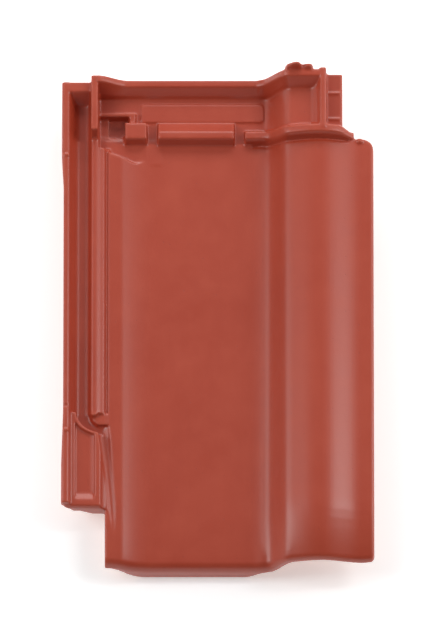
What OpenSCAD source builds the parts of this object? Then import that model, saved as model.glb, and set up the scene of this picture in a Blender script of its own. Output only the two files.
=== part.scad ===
// Interlocking clay roof tile: a flat pan between a raised shoulder and a broad roll,
// a grooved side lock along the left edge and a ribbed head lap at the top.
// +Y runs up the roof to the head, +X to the roll, +Z out of the roof. The origin is the
// middle of the bed plane that the foot nose and the two hanging nibs stand on.

/* [Overall] */
// Width over the side lock and the roll
tile_w = 272; // [245:1:330]
// Length from the foot to the back of the head rim
tile_l = 450; // [375:1:540]
// Thickness of the fired clay
wall = 11; // [9:0.5:13.5]
// Height of the pan's face over the bed plane
pan_z = 22; // [18:1:27]

/* [Roll] */
// Width of the roll, from its right edge to where it leaves the pan
roll_w = 108; // [104:1:116]
// Height of the crest over the pan
roll_h = 31; // [26:1:38]
// Width of the steep flank
flank_w = 20; // [16:1:24]
// Width over which the roll rounds up from the pan to its crest, the flank included
brow_w = 60; // [50:1:62]
// Height that the roll gains by this rounding
brow_h = 13; // [9:1:15]
// Width of the stretch that falls from the crest
fall_w = 36; // [30:1:40]
// Width of the level stretch along the right edge
edge_w = 10; // [6:1:14]
// How far the right edge lies under the crest
fall_h = 8; // [5:1:11]

/* [Shoulder] */
// Height of the left shoulder over the pan
shoulder_h = 5.5; // [4:0.5:7]
// Width of the shoulder's level top
shoulder_flat = 12; // [8:1:14]
// Width of the slope from the shoulder down to the pan
shoulder_run = 34; // [28:1:40]

/* [Foot] */
// Length over which the face bends down to the foot
foot_run = 55; // [44:1:66]
// How far the pan's face bends down at the foot
foot_dip = 2; // [1:0.5:3]
// How much further the crest bends down at the foot
crest_dip = 7; // [3:0.5:8]
// Radius of the pan's front nose
nose_r = 8; // [5:0.5:9]
// Radius of the roll's front edge
lip_r = 4; // [2:0.5:5]

/* [Head lap] */
// Length of the head lap that the next tile covers
lap_l = 60; // [52:1:70]
// Height of the second rib over the face
rib_h = 9; // [6:0.5:10]
// Width of the second rib's level top
rib_top = 6; // [4:0.5:8]
// Length of the second rib's slope on the foot side
rib_slope = 4; // [3:0.5:6]
// Height of the head rim over the face
head_rim_h = 10; // [7:0.5:11]
// Length of the head rim's slope on the foot side
rim_slope = 8; // [6:0.5:10]
// How much narrower the lap's roll is than the roll that covers it, on the pan side
lap_inset = 12; // [8:1:14]
// Width of the flank of the lap's roll
lap_flank = 24; // [20:1:28]
// Height of the lap's roll over the pan
lap_h = 29; // [24:1:34]
// How far the two lumps stand out behind the head rim
lump_over = 4; // [3:0.5:6]
// Height of the bigger lump over the head rim
lump_h = 8.5; // [5:0.5:10]

/* [Side lock] */
// Width of the side lock
lock_w = 38; // [36:1:42]
// Height of the lock's outer rim over the pan
rim_h = 17; // [13:0.5:20]
// Height of the lock's inner rib over the pan
lock_rib_h = 10; // [8:0.5:11]
// Height of the channel's floor over the pan
channel_z = 2; // [0:0.5:4]
// Length of the corner that is cut away below the lock
corner_cut = 53; // [45:1:66]
// Length of the closed lobe at the lock's lower end
lobe_l = 88; // [78:1:100]
// Radius of the bend where the channel turns out on to the shoulder
bend_r = 23.5; // [20:0.5:25]

/* [Hanging nibs] */
// Width of a nib
nib_w = 30; // [20:1:40]
// Length of a nib
nib_l = 18; // [12:1:24]
// Distance of the nibs' batten face from the head
nib_set = 42; // [36:1:50]

/* [Hidden] */

clay = [0.66, 0.3, 0.24];
left = -tile_w / 2;
right = tile_w / 2;
pan_left = left + lock_w;
shoulder_x = pan_left + shoulder_flat;
pan_x = shoulder_x + shoulder_run;
roll_x = right - roll_w;
flank_x = roll_x + 14;           // the steep flank starts inside the roll's edge
fall_x = right - edge_w - fall_w;
lean = wall * 0.4;               // the back's curves lie this far towards the hollow side
lap_y = tile_l - lap_l;
lap_start = lap_y + 6;           // the lap's floor begins under the ridge over the roll
lap_roll_x = roll_x + lap_inset;
lap_crest_x = lap_roll_x + lap_flank;
lock_head = tile_l - 4;
bend_y = corner_cut + lobe_l;
bend_x = pan_left - 1.5;
back_low = channel_z - 9;        // underside of the lock
tick_h = 0.8;
edge_r = 2.5;
corner_r = 10;                   // round corner of the cover flange at the head lap
foot_set = 2.6;                  // how far the foot steps back at the shoulder
roll_set = 2.7;                  // how far it steps back over the roll
foot_r = 5;                      // round corner of the foot
edge_steps = 4;
lip = 3;                         // least thickness of the foot's front edge
back_share = 0.6;                // part of the crest's dip that the back takes too
bite = 1;                        // how deep an added rib is rooted in the clay under it

function ease(t) = let (u = min(1, max(0, t))) u * u * (3 - 2 * u);
// From 1 to 0: a short round start, then a slope that eases off
round_part = 0.12;
function slope_off(t) = t <= 0 ? 1 : t >= 1 ? 0
    : t < round_part ? 1 - t * t / round_part
    : (1 - round_part) * pow((1 - t) / (1 - round_part), 2);
function steps(from, to, n) = [for (i = [1:n]) from + (to - from) * i / n];
function turned(list) = [for (i = [len(list) - 1:-1:0]) list[i]];

// Height of the face over the pan at x, and of the back under it
function wave(x, shift) =
    shoulder_h * slope_off((x - shoulder_x + shift) / shoulder_run)
    + (roll_h - brow_h) * ease((x - flank_x - shift) / flank_w)
    + brow_h * ease((x - roll_x - shift) / brow_w)
    - fall_h * ease((x - fall_x) / fall_w);
function face(x) = wave(x, 0);
function back(x) = wave(x, lean) - wall;
function lap_face(x) = lap_h * ease((x - lap_roll_x) / lap_flank);

// Near the foot the face dips and ends in a rounded nose, and the pan's back drops to the bed
function on_roll(x) = ease((x - flank_x + 6) / (flank_w + 6));
function on_nose(x) = 1 - ease((x - nose_x) / 18);
function nose_round(r, y) = y >= r ? 0 : r - sqrt(r * r - (r - y) * (r - y));
function foot_bend(y) = pow(max(0, 1 - y / foot_run), 2);
function foot_face(x, y) =
    face(x)
    - (foot_dip + crest_dip * on_roll(x)) * foot_bend(y)
    - nose_round(nose_r + (lip_r - nose_r) * on_roll(x), y);
function nose_depth(x) = (pan_z - wall) * on_nose(x) * ease((x - shoulder_x + 6) / 26);
function foot_back(x, y) = back(x) - nose_depth(x) * (1 - ease((y - 12) / 16))
    - back_share * crest_dip * on_roll(x) * foot_bend(y);

nose_x = roll_x - 4;
flank_end = flank_x + flank_w;
crest_x = roll_x + brow_w;
face_xs = concat([pan_left], [shoulder_x - 6], [shoulder_x], steps(shoulder_x, shoulder_x + 6, 4),
                 steps(shoulder_x + 6, pan_x, 9), [nose_x], steps(nose_x, roll_x, 4),
                 steps(roll_x, flank_end, 14), steps(flank_end, crest_x, 8),
                 steps(crest_x, fall_x + fall_w, 12), [right - edge_r]);
lap_xs = concat(steps(lap_roll_x, lap_crest_x, 12));
foot_ys = concat([0], [for (a = [20:20:80]) nose_r * (1 - cos(a))],
                 steps(nose_r, 28, 5), steps(28, foot_run, 3));

// In plan the foot steps back at the shoulder and the roll, and is rounded at the right corner
function foot_plan(x) = foot_set * (1 - ease((x - pan_left) / 26)) + roll_set * on_roll(x)
    + foot_r - sqrt(max(0, foot_r * foot_r - pow(max(0, x - right + foot_r), 2)));

// The tile's section at a distance y from the foot, as a list of [x, face, back, plan]
function slab(x, y, drop) = let (b = foot_back(x, y))
    [x, max(foot_face(x, y) - drop, b + lip), b, foot_plan(x) * max(0, 1 - y / foot_run)];
function section(y) = concat(
    [for (x = face_xs) slab(x, y, 0)],
    [for (i = [1:edge_steps]) let (a = 90 * i / edge_steps)
        slab(right - edge_r + edge_r * sin(a), y, edge_r * (1 - cos(a)))]);

// The closed outline of a section
function outline(ring) = concat([for (p = ring) [p[0], p[1]]],
                                [for (p = turned(ring)) [p[0], p[2]]]);

// A solid drawn through sections of as many points each, which stand at the given y. A fourth
// number in a section's point moves it along y.
function lead(p) = len(p) > 3 ? p[3] : 0;
module loft(ys, rings) {
    n = len(rings[0]);
    m = len(ys);
    under = m * n;
    points = concat([for (k = [0:m - 1]) for (p = rings[k]) [p[0], ys[k] + lead(p), p[1]]],
                    [for (k = [0:m - 1]) for (p = rings[k]) [p[0], ys[k] + lead(p), p[2]]]);
    sheets = [for (k = [0:m - 2]) for (i = [0:n - 2]) let (a = k * n + i, b = a + n, c = a + under)
        each [[a, b, b + 1], [a, b + 1, a + 1],
              [c, c + n + 1, c + n], [c, c + 1, c + n + 1]]];
    sides = [for (k = [0:m - 2]) let (a = k * n, b = a + n, c = b - 1, d = c + n)
        each [[b, a, a + under], [b, a + under, b + under],
              [c, d, d + under], [c, d + under, c + under]]];
    ends = [for (i = [0:n - 2]) let (a = i, b = under - n + i)
        each [[a, a + 1, a + 1 + under], [a, a + 1 + under, a + under],
              [b + 1, b, b + under], [b + 1, b + under, b + 1 + under]]];
    polyhedron(points, concat(sheets, sides, ends), convexity = 8);
}

// An outline in x and z, drawn from y0 to y1
module along(y0, y1) {
    translate([0, y1, 0]) rotate([90, 0, 0]) linear_extrude(y1 - y0) children();
}

// An outline in y and z, drawn from x0 to x1
module across(x0, x1) {
    translate([x0, 0, 0]) rotate([90, 0, 90]) linear_extrude(x1 - x0) children();
}

// A plan in x and y, drawn from z0 to z1
module upright(z0, z1) {
    translate([0, 0, z0]) linear_extrude(z1 - z0) children();
}

module box(from, to) {
    translate(from) cube(to - from);
}

// Pan, shoulder and roll, with the nose along the foot
module body() {
    loft(foot_ys, [for (y = foot_ys) section(y)]);
    along(foot_run, lap_start) polygon(outline(section(foot_run)));
}

// The lap's floor with its narrower roll, the gutter beside it and the low right flange
flange_z = lap_h - 4;
flange_right = right - 27;
gutter_x = lap_crest_x + 19;
side_rib_x = gutter_x + 6;
side_rib_w = 6.4;
side_rib_z = lap_h + head_rim_h + 0.5;
module lap_floor() {
    along(lap_start, tile_l) polygon(concat(
        [[pan_left - 10, 0], [lap_roll_x, 0]],
        [for (x = lap_xs) [x, lap_face(x)]],
        [[gutter_x - 2, lap_h], [gutter_x + 1, flange_z - 2], [side_rib_x + 2, flange_z - 2],
         [side_rib_x + side_rib_w, flange_z], [flange_right - 1, flange_z],
         [flange_right, flange_z - 1], [flange_right, flange_z - 9],
         [gutter_x - 2, flange_z - 11]],
        [for (x = turned(steps(roll_x + lean, gutter_x - 6, 18))) [x, back(x)]],
        [[roll_x + lean, -wall], [pan_left + 6, -wall], [pan_left - 2, back_low],
         [pan_left - 10, back_low]]));
}

// Outline of a rib: a steep slope to the foot, a level top and a long slope to the head
function rib_outline(y, h, tail) = [[y - bite, -bite], [y + rib_slope, h], [y + rib_slope + rib_top, h],
                                    [y + rib_slope + rib_top + tail, 0],
                                    [y + rib_slope + rib_top + tail, -bite]];

// The head rim follows the lap's face and climbs to the tall rib of the side lock
rim_y = tile_l - rim_slope - 6;
rim_climb = 14;
function rim_face(x) = head_rim_h + rim_climb * (1 - ease((x - pan_left + 7) / 27))
    + lap_h * ease((x - lap_roll_x + 6) / (lap_flank + 4));
module head_rim() {
    xs = concat([pan_left - 7], steps(pan_left - 7, pan_left + 20, 9), [lap_roll_x - 6], [lap_roll_x],
                lap_xs, [gutter_x - 3], [gutter_x - 2], [side_rib_x + 1]);
    ys = [rim_y - bite, rim_y + 1.5, rim_y + rim_slope, tile_l - 1.2, tile_l];
    lifts = [0, 0.35, 1, 1, 0.95];
    loft(ys, [for (lift = lifts) [for (x = xs) let (root = lap_face(x) - bite)
        [x, root + (rim_face(x) - root) * lift, x < gutter_x - 2.5 ? root - 3 : flange_z - 5]]]);
}

// The second rib: a long piece on the pan, and a ridge that runs up over the roll
rib_gap = 9.6;
rib_left = shoulder_x + 34;
ridge_x = roll_x - 4;
ridge_right = right - 17;
module second_rib() {
    across(rib_left, ridge_x - rib_gap) polygon(rib_outline(lap_y + 2, rib_h, 12));
    xs = concat([ridge_x], [roll_x], steps(roll_x, flank_end, 12), steps(flank_end, crest_x, 6),
                steps(crest_x, ridge_right, 10));
    ys = [0, 2, rib_slope, rib_slope + rib_top, rib_slope + rib_top + 3];
    lifts = [-bite, rib_h * 0.6, rib_h - 1, rib_h - 1, 1];
    loft([for (y = ys) lap_y + 1 + y], [for (k = [0:4]) [for (x = xs)
        let (end = ease((x - ridge_right + 14) / 16), up = on_roll(x))
        [x, face(x) + lifts[k] * (1 - 0.9 * end), back(x) + 2,
         1.5 - 4 * up - 0.6 * ys[k] * end]]]);
}

// A fine groove along the foot of the ridge, where the roll's face ends
module ridge_groove() {
    xs = concat([ridge_x + 6], steps(ridge_x + 6, flank_end, 12), steps(flank_end, crest_x, 6),
                steps(crest_x, ridge_right - 4, 10));
    ys = [-3.4, -0.9, 0.6];
    depths = [-0.3, 1.6, 1.6];
    loft([for (y = ys) lap_y + 1 + y], [for (k = [0:2]) [for (x = xs)
        [x, 70, face(x) - depths[k], 1.5 - 4 * on_roll(x)]]]);
}

// A small nub between the ridge's end and the round corner
module edge_nub() {
    translate([ridge_right + 5, lap_y - 2, roll_h - fall_h]) scale([3.4, 2.6, 2.2]) sphere(1, $fn = 24);
}

// The square block beside the rib, and the thin cross rib that joins it to the tall rib
pocket_z = 3;
block_x = shoulder_x + 5;
block_w = 19;
cross_y = lap_y + 29.5;
module block() {
    across(block_x, block_x + block_w) polygon([[lap_y + 1.5, -bite], [lap_y + 6, rib_h],
        [lap_y + 20, rib_h], [lap_y + 21, rib_h - 1], [lap_y + 21, -bite]]);
    across(pan_left - 6, block_x + 9.5) polygon([[cross_y - 3.2, -pocket_z - bite], [cross_y - 2, 6],
        [cross_y + 1.2, 6], [cross_y + 2.4, -bite]]);
    along(lap_y + 19, cross_y + 0.5) polygon([[block_x + 3, -pocket_z - bite], [block_x + 4, 5.8],
        [block_x + 9, 5.8], [block_x + 10, -bite]]);
}

// A sunk pocket between the tall rib, the cross rib and the block
module pocket() {
    upright(-pocket_z, 20) polygon([[pan_left - 5, lap_y + 10], [pan_left - 5, cross_y - 2],
        [block_x + 4, cross_y - 2], [block_x + 4, lap_y + 16], [block_x - 3, lap_y + 9]]);
}

// A bare raised plate between the head rim and the second rib
plate_h = 1.2;
module plate() {
    upright(-bite, plate_h) hull()
        for (x = [shoulder_x + 22, lap_roll_x - 3], y = [lap_y + 27, lap_y + 37])
            translate([x, y]) circle(3, $fn = 24);
}

// Right of the lap's roll: the long side rib with its slanted inner side, and two ticks
module lap_side() {
    along(lap_start, tile_l + 1.5) polygon([[gutter_x - 3, flange_z - 5], [gutter_x - 3, lap_h - 1],
        [gutter_x + 1, lap_h + 1.5], [gutter_x + 4, lap_h + 4.5], [side_rib_x + 0.4, side_rib_z - 1],
        [side_rib_x + 1.2, side_rib_z], [side_rib_x + side_rib_w - 1.4, side_rib_z],
        [side_rib_x + side_rib_w - 0.6, side_rib_z - 1], [side_rib_x + side_rib_w, flange_z - 5]]);
    for (y = [lap_y + 17, lap_y + 41])
        box([flange_right - 12.5, y, flange_z - 2], [flange_right - 2, y + 1.6, flange_z + tick_h]);
}

// Two lumps on the head rim over the crest of the lap's roll, as [x, part of the height]
lump_z = lap_h + head_rim_h;
lumps = [for (p = [[-5.5, -0.6], [-3.5, 0.2], [1.5, 0.82], [5, 1], [7.6, 0.82], [9.6, 0.15],
    [10.8, 0.05], [12.4, 0.28], [16, 0.36], [18.2, 0.26], [19.6, -0.4]])
    [lap_crest_x + p[0], lump_z + lump_h * p[1]]];
module head_lumps() {
    ys = [tile_l - 2.5, tile_l - 0.5, tile_l + lump_over - 2.5, tile_l + lump_over - 1,
          tile_l + lump_over];
    lifts = [-0.3, 0.35, 0.95, 1, 0.85];
    loft(ys, [for (lift = lifts) [for (p = lumps)
        [p[0], lump_z + (p[1] - lump_z) * lift - (lift < 0 ? 1 : 0), lap_face(p[0]) - 4]]]);
}

// Section of the side lock, from the outer rim over the channel and the inner rib to the ridge
function lock_section() = [for (p = [
    [0, rim_h - 9], [0, rim_h - 1.5], [1.5, rim_h], [5.5, rim_h], [7, rim_h - 1.5],
    [11.5, channel_z + 3], [14, channel_z + 0.5], [16, channel_z], [21, channel_z],
    [23.5, channel_z + 1], [25, channel_z + 3.5], [25.6, lock_rib_h - 1.1], [26.5, lock_rib_h - 0.25],
    [27.6, lock_rib_h], [29.4, lock_rib_h - 0.1], [31.2, lock_rib_h - 0.6], [33, lock_rib_h - 1.4],
    [34.8, lock_rib_h - 2], [36.6, lock_rib_h - 2.3], [37.5, lock_rib_h - 3.2],
    [lock_w + 1, shoulder_h - 2], [lock_w + 4, shoulder_h - 3],
    [lock_w + 4, channel_z - 2], [lock_w, channel_z - 5], [lock_w - 4, channel_z - 8],
    [lock_w - 10, back_low], [10, back_low], [3, rim_h - 11]]) [left + p[0], p[1]]];

// Plan of the channel's bend, a little flattened, around its centre
bend_flat = 0.8;
module bend_plan(r) {
    translate([bend_x, bend_y])
        polygon([for (a = [0:5:355]) [r * cos(a), r * bend_flat * sin(a)]]);
}

// The lobe closes the lock's lower end. Its plan is rounded at the outer corner, and the
// channel's bend is cut into it.
lobe_z = rim_h - 5;
panel_z = 2.5;
module lobe() {
    difference() {
        upright(back_low + 0.5, lobe_z) polygon(concat(
            [[pan_left + 3, corner_cut], [pan_left + 3, bend_y], [left + 3, bend_y]],
            [for (a = [0:22.5:90]) [left + 6.4 - 5 * cos(a), corner_cut + 5.4 - 5 * sin(a)]]));
        // sunk panel
        difference() {
            across(left + 12, left + 29) polygon([[corner_cut + 7, rim_h], [corner_cut + 7, lobe_z],
                [corner_cut + 14, lobe_z - panel_z], [bend_y, lobe_z - panel_z], [bend_y, rim_h]]);
            upright(lobe_z - 4, lobe_z + 8) bend_plan(bend_r + 3);
        }
        // front edge rounded down, and the outer side's back lifted
        across(left - 1, pan_left + 5) polygon(concat([[corner_cut - 2, 30], [corner_cut - 2, rim_h - 12]],
            [for (a = [0:18:90]) [corner_cut + 7 - 7 * cos(a), rim_h - 10 + 7 * sin(a)]],
            [[corner_cut + 9, 30]]));
        along(corner_cut - 2, bend_y + 2) polygon([[left - 2, -30], [left - 2, rim_h - 9.5],
            [left + 8, rim_h - 10.5], [left + 27, back_low + 0.6], [left + 27, -30]]);
        // step down to the shoulder
        along(corner_cut - 2, bend_y + 2) polygon([[left + 34, 40], [left + 34, lobe_z],
            [left + 36.5, shoulder_h + 1], [pan_left + 4, shoulder_h + 0.2], [pan_left + 4, 40]]);
    }
}

// The bend runs round the end of the groove's ledge and the rounded end of the inner rib
module lock_bend() {
    intersection() {
        difference() {
            upright(channel_z, channel_z + 30) bend_plan(bend_r);
            translate([bend_x, bend_y, channel_z - 1]) cylinder(r1 = 12.6, r2 = 10.6, h = 5.5, $fn = 48);
            translate([left + 28.4, bend_y, channel_z + 3]) cylinder(r1 = 3.6, r2 = 2.7,
                h = lock_rib_h - channel_z - 3, $fn = 32);
        }
        box([bend_x - bend_r - 5, bend_y - bend_r - 5, channel_z - 5],
            [bend_x + 2, bend_y, channel_z + 29]);
    }
}

// The bend opens into a trough that rises and slants on to the shoulder
trough_low = corner_cut - 29;
trough_l = bend_y - 10 - trough_low;
module trough() {
    ts = steps(-0.125, 1, 9);
    loft([for (t = ts) trough_low + trough_l * t], [for (t = ts)
        let (mid = pan_left + 7.5 - 9.5 * pow(max(0, t), 1.6), half = 3 + 2.2 * t,
             low = shoulder_h - 0.2 - 1.3 * ease(4 * t)
                   - (shoulder_h - channel_z - 2) * ease((t - 0.5) / 0.5))
        [for (u = [-1:0.5:1]) [mid + half * u, 40, low + 2.2 * u * u]]]);
}

module side_lock() {
    difference() {
        union() {
            along(corner_cut + 3, lock_head) polygon(lock_section());
            lobe();
        }
        lock_bend();
        // the grooves beside the inner rib end where the head lap begins
        box([left + 32.4, lap_y - 2, -0.4], [pan_left + 6, lock_head + 1, 40]);
        // the rim is a little narrower between the lobe and the head lap
        upright(-40, 40) polygon([[left - 5, corner_cut + 38], [left, corner_cut + 40],
            [left + 1.6, bend_y], [left + 1.6, lap_y - 42], [left, lap_y - 15],
            [left - 5, lap_y - 14]]);
        // tick across the rim above the lobe
        box([left - 5, bend_y + 3, rim_h - 0.8], [left + 8, bend_y + 6, rim_h + 5]);
    }
    // wall across the head of the channel
    across(left + 1, left + 27) polygon([[lock_head - 0.4, back_low + 1], [lock_head - 0.4, rim_h - 0.4],
        [lock_head - 9, rim_h - 0.4], [lock_head - 18, channel_z - bite], [lock_head - 18, back_low + 1]]);
    // tall rib beside the lap
    across(pan_left - 12.4, pan_left - 6.6) polygon([[lap_y + 3, back_low + 2], [lap_y + 3, lock_rib_h - 2],
        [lap_y + 6, lock_rib_h + 1], [lap_y + 10, rim_climb + rib_h - 1], [tile_l, rim_climb + rib_h],
        [tile_l, back_low + 2]]);
    // ticks on the rim
    for (y = [bend_y - 19, lap_y - 13])
        box([left + 1, y, rim_h - 1], [left + 7, y + 1.6, rim_h + tick_h]);
}

// Groove between the lock's inner ridge and the shoulder
module shoulder_groove() {
    along(bend_y, lap_y - 4) polygon([[pan_left + 0.2, 40], [pan_left + 0.4, shoulder_h - 1.2],
        [pan_left + 1.2, shoulder_h - 2], [pan_left + 2, shoulder_h - 1.2],
        [pan_left + 3.4, shoulder_h + 1], [pan_left + 3.4, 40]]);
}

// The shoulder ends on a slant where the head lap begins
module shoulder_end() {
    upright(0.6, 40) polygon([[pan_left - 3, lap_y - 3], [pan_left + 12, lap_y - 8.5],
        [pan_left + 26, lap_y - 15], [pan_x + 4, lap_y - 9], [pan_x + 4, lap_start + 1],
        [pan_left - 3, lap_start + 1]]);
}

// The lap's floor runs on under the shoulder's slanted end
module shoulder_floor() {
    along(lap_y - 16, lap_start + bite) polygon([[pan_left - 7, 0.3], [pan_x + 3, 0.3],
        [pan_x + 3, 0.5 - wall], [pan_left + 6, 0.5 - wall], [pan_left - 2, back_low + 0.5],
        [pan_left - 7, back_low + 0.5]]);
}

// The cover flange ends in a round corner at the head lap
module roll_corner() {
    box([ridge_right, lap_y, -20], [right + 5, lap_y + 8, 80]);
    upright(-20, 80) difference() {
        translate([right - corner_r, lap_y - corner_r]) square(corner_r + 5);
        translate([right - corner_r, lap_y - corner_r]) circle(corner_r, $fn = 48);
    }
}

// Nibs that hook over the batten: upright face to the foot, sloping face to the head
module nibs() {
    for (x = [shoulder_x + 20, roll_x - nib_w - 8])
        across(x, x + nib_w) polygon([[tile_l - nib_set, -wall + bite], [tile_l - nib_set, -pan_z],
            [tile_l - nib_set + nib_l - 5, -pan_z], [tile_l - nib_set + nib_l, -wall + bite]]);
}

module roof_tile() {
    color(clay) translate([0, -(tile_l + lump_over) / 2, pan_z]) union() {
        difference() {
            body();
            shoulder_groove();
            shoulder_end();
            roll_corner();
            ridge_groove();
            trough();
        }
        difference() {
            side_lock();
            trough();
        }
        difference() {
            lap_floor();
            pocket();
        }
        shoulder_floor();
        head_rim();
        second_rib();
        edge_nub();
        block();
        plate();
        lap_side();
        head_lumps();
        nibs();
    }
}

roof_tile();
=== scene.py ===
import math

import bpy
import numpy as np
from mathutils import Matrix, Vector


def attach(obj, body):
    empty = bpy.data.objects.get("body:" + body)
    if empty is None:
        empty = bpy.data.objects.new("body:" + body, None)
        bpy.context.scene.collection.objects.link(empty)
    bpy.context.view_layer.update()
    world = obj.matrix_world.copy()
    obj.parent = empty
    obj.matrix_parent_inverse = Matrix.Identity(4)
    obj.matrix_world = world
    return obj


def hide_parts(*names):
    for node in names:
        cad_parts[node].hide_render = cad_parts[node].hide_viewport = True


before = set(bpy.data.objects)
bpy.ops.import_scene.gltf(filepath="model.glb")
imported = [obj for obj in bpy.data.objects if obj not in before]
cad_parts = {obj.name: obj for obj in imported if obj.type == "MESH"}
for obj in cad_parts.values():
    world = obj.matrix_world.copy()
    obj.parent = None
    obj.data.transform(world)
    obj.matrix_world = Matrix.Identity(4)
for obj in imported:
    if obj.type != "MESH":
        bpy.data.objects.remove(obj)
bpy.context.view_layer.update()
bpy.ops.object.select_all(action="DESELECT")
print("frame loaded")


def pick(piece):
    bpy.ops.object.select_all(action="DESELECT")
    piece.select_set(True)
    bpy.context.view_layer.objects.active = piece


def applied(piece, kind, **settings):
    # adds one modifier and applies it at once
    pick(piece)
    modifier = piece.modifiers.new(kind.title(), kind)
    for setting, value in settings.items():
        setattr(modifier, setting, value)
    bpy.ops.object.modifier_apply(modifier=modifier.name)


def meshPoints(mesh):
    points = np.zeros(len(mesh.vertices) * 3)
    mesh.vertices.foreach_get("co", points)
    return points.reshape(-1, 3)


# All sizes in metres. +Y runs up the roof, +X to the roll, +Z out of the roof.
tileShape = {
    "merge": 0.000002,             # points this near are one point
    "voxel": 0.0008,               # grain of the fired body's mesh
    "softening": 9,                # how far drying and firing round the mould's edges
    "softeningStrength": 0.5,
    "triangles": 190000,
    "flankSide": (0.024, 0.074),   # from and to, where the roll's flank is drawn softer
    "flankEnds": (-0.216, 0.158),
    "flankFade": 0.010,
    "flankSteps": 8,
    "flankSoftening": 220,
}


# The roll's flank leaves the pan and meets the crest in wide, soft bends
def softenFlank(tile):
    points = meshPoints(tile.data)
    share = np.ones(len(points))
    for axis, (low, high) in ((0, tileShape["flankSide"]), (1, tileShape["flankEnds"])):
        inside = np.minimum(points[:, axis] - low, high - points[:, axis])
        share *= np.clip(inside / tileShape["flankFade"], 0, 1)
    group = tile.vertex_groups.new(name="flank")
    steps = tileShape["flankSteps"]
    level = np.round(share * steps).astype(int)
    for rank in range(1, steps + 1):
        group.add(np.flatnonzero(level == rank).tolist(), rank / steps, "REPLACE")
    applied(tile, "SMOOTH", factor=tileShape["softeningStrength"],
            iterations=tileShape["flankSoftening"], vertex_group="flank")
    tile.vertex_groups.clear()


# Fired body: the pressed shape, with its edges softened
def fireTile(pressed):
    tile = bpy.data.objects.new("fired_tile", pressed.data.copy())
    bpy.context.scene.collection.objects.link(tile)
    tile.data.materials.clear()
    pick(tile)
    bpy.ops.object.mode_set(mode="EDIT")
    bpy.ops.mesh.select_all(action="SELECT")
    bpy.ops.mesh.remove_doubles(threshold=tileShape["merge"])
    bpy.ops.mesh.select_all(action="DESELECT")
    bpy.ops.object.mode_set(mode="OBJECT")
    applied(tile, "REMESH", mode="VOXEL", voxel_size=tileShape["voxel"])
    applied(tile, "SMOOTH", factor=tileShape["softeningStrength"],
            iterations=tileShape["softening"])
    softenFlank(tile)
    # the remesh leaves four-sided faces, two triangles each
    share = min(1.0, tileShape["triangles"] / (2.0 * len(tile.data.polygons)))
    applied(tile, "DECIMATE", ratio=share)
    pick(tile)
    bpy.ops.object.shade_smooth()
    bpy.ops.object.select_all(action="DESELECT")
    return tile


coating = {
    "lowest": -0.75,               # how far down a face may look and still catch some spray
    "fade": 0.5,
    "sharpest": 400.0,             # bend to the metre that counts as a full ridge or hollow
    "evening": 4,                  # rounds of averaging with the neighbours
}


# Where the engobe lies: all that faces the weather, thin on the ridges, none on the back; and the
# hollows, which the material draws darker as painted shade
def markCoating(tile):
    mesh = tile.data
    count = len(mesh.vertices)
    points = meshPoints(mesh)
    normals = np.zeros(count * 3, np.float32)
    mesh.vertex_normals.foreach_get("vector", normals)
    normals = normals.reshape(-1, 3).astype(float)
    ends = np.zeros(len(mesh.edges) * 2, np.int32)
    mesh.edges.foreach_get("vertices", ends)
    one, two = ends.reshape(-1, 2).T
    degree = np.bincount(one, minlength=count) + np.bincount(two, minlength=count)
    degree = np.maximum(degree, 1)

    def spread(values):
        # mean over the neighbours of each point
        total = np.bincount(one, values[two], count) + np.bincount(two, values[one], count)
        return total / degree

    step = points[two] - points[one]
    turn = ((normals[two] - normals[one]) * step).sum(1) / np.maximum((step * step).sum(1), 1e-12)
    bulge = (np.bincount(one, turn, count) + np.bincount(two, turn, count)) / degree
    facing = normals[:, 2].copy()
    for _ in range(coating["evening"]):
        bulge = spread(bulge)
        facing = spread(facing)
    for name, values in (
        ("coating", (facing - coating["lowest"]) / coating["fade"]),
        ("ridge", bulge / coating["sharpest"]),
        # concave bends: the mask for the painted shade in hollows and creases
        ("hollow", -bulge / coating["sharpest"]),
    ):
        mark = mesh.attributes.new(name, "FLOAT", "POINT")
        mark.data.foreach_set("value", np.clip(values, 0, 1).astype(np.float32))


# A shader value that can be used in plain arithmetic
class Value:
    def __init__(self, recipe, socket):
        self.recipe = recipe
        self.socket = socket

    def maths(self, operation, *others):
        inputs = dict(enumerate([self, *others]))
        return self.recipe.node("ShaderNodeMath", {"operation": operation}, inputs)

    def __add__(self, other):
        return self.maths("ADD", other)

    def __radd__(self, other):
        return self.maths("ADD", other)

    def __sub__(self, other):
        return self.maths("SUBTRACT", other)

    def __rsub__(self, other):
        return (self * -1.0) + other

    def __mul__(self, other):
        return self.maths("MULTIPLY", other)

    def __rmul__(self, other):
        return self.maths("MULTIPLY", other)

    def held(self):
        # kept between 0 and 1
        return self.maths("MAXIMUM", 0.0).maths("MINIMUM", 1.0)

    def rise(self, start, steepness):
        # 0 up to the start, then climbing to 1
        return ((self - start) * steepness).held()


# The nodes of one material, or of the sky
class Recipe:
    def __init__(self, owner):
        self.owner = owner
        owner.use_nodes = True
        self.tree = owner.node_tree
        self.tree.nodes.clear()

    def node(self, kind, settings=None, inputs=None, output=0):
        made = self.tree.nodes.new(kind)
        for setting, value in (settings or {}).items():
            setattr(made, setting, value)
        for socket, value in (inputs or {}).items():
            target = made.inputs[socket]
            if isinstance(value, Value):
                self.tree.links.new(value.socket, target)
            elif isinstance(value, tuple) and target.type == "RGBA":
                target.default_value = (*value, 1.0)
            else:
                target.default_value = value
        return Value(self, made.outputs[output]) if made.outputs else None

    def noise(self, place, scale, detail, rough):
        return self.node("ShaderNodeTexNoise", {}, {
            "Vector": place, "Scale": scale, "Detail": detail, "Roughness": rough})

    def blend(self, share, first, second):
        # colour from first to second
        return self.node("ShaderNodeMix", {"data_type": "RGBA"}, {0: share, 6: first, 7: second}, 2)

    def mark(self, name):
        # what markCoating wrote on the mesh
        return self.node("ShaderNodeAttribute", {"attribute_name": name}, {}, 2)


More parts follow.
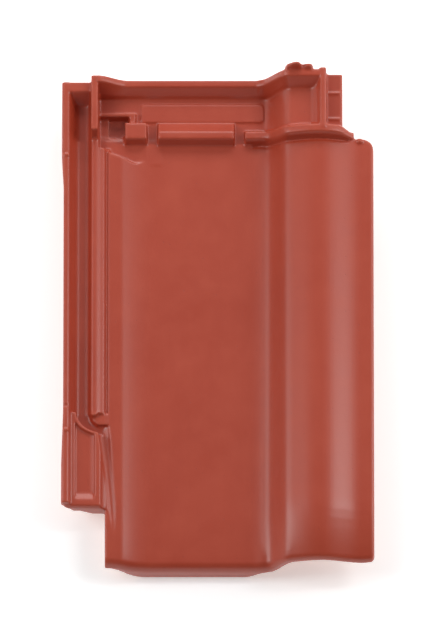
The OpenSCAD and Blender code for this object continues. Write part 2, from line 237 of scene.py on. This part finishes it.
engobe = {
    "red": (0.434, 0.0520, 0.0198),        # satin red engobe on the weather side
    # darker red: the firing clouds, and the painted shade in the hollows
    "redDeepAndShade": (0.400, 0.0455, 0.0172),
    "redWarm": (0.462, 0.0620, 0.0245),
    "worn": (0.505, 0.0930, 0.0460),       # where it is thin, along the ridges
    "wornShare": 0.40,
    # dark sand specks, and the painted shade in the pinholes
    "speckAndPitShade": (0.250, 0.0320, 0.0180),
    "roughness": 0.47,
    "gloss": 0.42,                         # share of the sharper sheen on top
    "glossRoughness": 0.27,
    "ior": 1.5,
}

bareClay = {
    "body": (0.455, 0.150, 0.0720),        # uncoated back
    "bodyPale": (0.540, 0.205, 0.1050),
    "roughness": 0.82,
}

# Scales are per metre, heights in metres
clayPattern = {
    "cloud": 11.0,                 # wide firing clouds
    "patch": 46.0,                 # uneven spraying
    "streak": 70.0,                # pull of the press along the tile
    "streakStretch": (1.0, 0.16, 1.0),
    "grain": 900.0,                # sand under the engobe
    "peel": 260.0,                 # dried spray skin
    "pinHole": 170.0,
    "pinHoleTightness": 9.0,
    "pinHoleRarity": 0.72,
    "grainHeight": 0.00006,
    "peelHeight": 0.00005,
    "patchHeight": 0.00010,
    "streakHeight": 0.00008,
    "pinHoleDepth": 0.00020,
    "bareGrainHeight": 0.00020,
    "reliefStrength": 0.8,
}


def clayMaterial():
    clay = Recipe(bpy.data.materials.new("engobed_clay"))
    look = clayPattern
    place = clay.node("ShaderNodeTexCoord", {}, {}, 3)
    drawn = clay.node("ShaderNodeMapping", {}, {"Vector": place, "Scale": look["streakStretch"]})

    cloud = clay.noise(place, look["cloud"], 3.0, 0.55)
    patch = clay.noise(place, look["patch"], 4.0, 0.6)
    streak = clay.noise(drawn, look["streak"], 3.0, 0.6)
    grain = clay.noise(place, look["grain"], 3.0, 0.7)
    peel = clay.noise(place, look["peel"], 2.0, 0.5)
    cells = {"Vector": place, "Scale": look["pinHole"]}
    cell = clay.node("ShaderNodeTexVoronoi", {}, cells, 0)
    cellShade = clay.node("ShaderNodeTexVoronoi", {}, cells, 1)
    cellPick = clay.node("ShaderNodeSeparateColor", {}, {0: cellShade}, 0)
    # the pinholes: sunk by the relief, and drawn dark below as painted shade
    pit = (1.0 - cell * look["pinHoleTightness"]).held()
    pit = pit * cellPick.rise(look["pinHoleRarity"], 12.0)

    coat = ((clay.mark("coating") - 0.5) * 3.0 + 0.5 + (patch - 0.5) * 1.2).held()
    uneven = (grain - 0.55) * 0.8 + (patch - 0.5) * 0.8
    worn = ((clay.mark("ridge") * 1.5 + uneven) * 0.9 - 0.1).held() * engobe["wornShare"]

    red = clay.blend(cloud.rise(0.35, 2.2), engobe["redDeepAndShade"], engobe["red"])
    spray = ((patch - 0.42) * 2.0 + (streak - 0.5) * 1.2).held()
    red = clay.blend(spray * 0.55, red, engobe["redWarm"])
    # painted shade: hollows and creases drawn darker red
    red = clay.blend(clay.mark("hollow") * 0.45, red, engobe["redDeepAndShade"])
    red = clay.blend(grain.rise(0.60, 5.0) * 0.20, red, engobe["speckAndPitShade"])
    red = clay.blend(worn, red, engobe["worn"])
    # painted shade: the pinholes drawn dark, as shade in the pits
    red = clay.blend(pit * 0.75, red, engobe["speckAndPitShade"])
    bare = clay.blend(patch.rise(0.3, 2.0), bareClay["body"], bareClay["bodyPale"])
    bare = clay.blend(grain.rise(0.5, 3.0) * 0.4, bare, bareClay["body"])

    satin = (patch - 0.5) * 0.16 + (cloud - 0.5) * 0.10 + (grain - 0.5) * 0.10
    satin = satin + worn * 0.18 + engobe["roughness"]

    height = grain * look["grainHeight"] + peel * look["peelHeight"]
    height = height + patch * look["patchHeight"] + streak * look["streakHeight"]
    height = height - pit * look["pinHoleDepth"] + (1.0 - coat) * grain * look["bareGrainHeight"]
    relief = clay.node("ShaderNodeBump", {}, {
        "Strength": look["reliefStrength"], "Distance": 1.0, "Height": height})

    surface = clay.node("ShaderNodeBsdfPrincipled", {}, {
        "Base Color": clay.blend(coat, bare, red),
        "Roughness": coat * satin + (1.0 - coat) * bareClay["roughness"],
        "IOR": engobe["ior"],
        "Coat Weight": coat * (1.0 - worn) * engobe["gloss"],
        "Coat Roughness": engobe["glossRoughness"],
        "Coat IOR": engobe["ior"],
        "Normal": relief,
    })
    clay.node("ShaderNodeOutputMaterial", {}, {"Surface": surface})
    return clay.owner


studio = {
    "elevation": 70.0,             # degrees over the horizon, seen from the foot
    "distance": 18.0,
    "viewHeight": 0.5575,
    "sensor": 36.0,                # millimetres
    "farthest": 50.0,
    "aim": (0.0012, 0.0004, 0.030),
    "floorShade": 0.93,
    "floorGlow": 0.40,             # the floor shines a little, as a light table does
    "floorSize": 16.0,
    "floorTooth": 300.0,
    "sky": 0.10,                   # the light from all round
    "backdrop": 0.88,              # what shows behind the floor's far edge
    "lights": [
        # name, place, width, length, power
        ("headLow", (0.20, 1.85, 1.10), 2.20, 0.70, 27.0),
        ("headHigh", (0.10, 1.50, 2.10), 2.00, 0.80, 2.0),
        ("rightBox", (2.20, 0.35, 1.20), 1.20, 1.80, 24.5),
        ("leftBox", (-2.20, 0.35, 1.20), 1.20, 1.80, 10.0),
        ("leftHigh", (-2.00, 0.10, 1.70), 1.00, 1.80, 22.0),
        ("footLeft", (-1.30, -0.30, 1.90), 0.70, 1.00, 1.6),
        ("footLow", (0.00, -2.20, 0.40), 2.00, 0.50, 4.0),
        ("rightStrip", (1.33, 0.45, 1.74), 0.20, 0.50, 6.2),
        ("leftStrip", (-0.84, 0.46, 2.03), 0.22, 0.42, 1.8),
    ],
}

white = (1.0, 1.0, 1.0)


def setFloor():
    bpy.ops.mesh.primitive_plane_add(size=studio["floorSize"], location=(0, 0, 0))
    floor = bpy.context.object
    floor.name = "studio_floor"
    paper = Recipe(bpy.data.materials.new("pale_paper"))
    place = paper.node("ShaderNodeTexCoord", {}, {}, 3)
    tooth = paper.noise(place, studio["floorTooth"], 2.0, 0.5)
    shade = studio["floorShade"]
    surface = paper.node("ShaderNodeBsdfPrincipled", {}, {
        "Base Color": (shade, shade, shade),
        "Roughness": tooth * 0.1 + 0.8,
        "Specular IOR Level": 0.2,
        "Emission Color": white,
        "Emission Strength": studio["floorGlow"],
    })
    paper.node("ShaderNodeOutputMaterial", {}, {"Surface": surface})
    floor.data.materials.append(paper.owner)


def aimed(thing):
    # -Z of a light or camera looks at the middle of the tile
    toTile = Vector(studio["aim"]) - thing.location
    thing.rotation_euler = toTile.to_track_quat("-Z", "Y").to_euler()


def setLights():
    for name, place, width, length, power in studio["lights"]:
        bpy.ops.object.light_add(type="AREA", location=place)
        box = bpy.context.object
        box.name = name
        box.data.shape = "RECTANGLE"
        box.data.size = width
        box.data.size_y = length
        box.data.energy = power
        box.visible_camera = False
        aimed(box)


# A dim sky for the light, and a pale one behind the floor's far edge
def setSky():
    sky = Recipe(bpy.data.worlds.new("studio_sky"))
    straight = sky.node("ShaderNodeLightPath")
    dim, pale = (
        sky.node("ShaderNodeBackground", {}, {"Color": white, "Strength": studio[strength]})
        for strength in ("sky", "backdrop")
    )
    both = sky.node("ShaderNodeMixShader", {}, {0: straight, 1: dim, 2: pale})
    sky.node("ShaderNodeOutputWorld", {}, {"Surface": both})
    bpy.context.scene.world = sky.owner


def setCamera():
    lift = math.radians(studio["elevation"])
    away = Vector((0, -math.cos(lift), math.sin(lift))) * studio["distance"]
    bpy.ops.object.camera_add(location=Vector(studio["aim"]) + away)
    camera = bpy.context.object
    camera.name = "camera"
    camera.data.sensor_width = studio["sensor"]
    camera.data.lens = studio["sensor"] * studio["distance"] / studio["viewHeight"]
    camera.data.clip_end = studio["farthest"]
    aimed(camera)
    bpy.context.scene.camera = camera


tile = fireTile(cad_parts["roof_tile"])
print("tile fired:", len(tile.data.polygons), "faces")
markCoating(tile)
tile.data.materials.append(clayMaterial())
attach(tile, "root")
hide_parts("roof_tile")
print("engobe on")

setFloor()
setLights()
setSky()
setCamera()
bpy.context.scene.view_settings.view_transform = "Standard"
print("studio set")
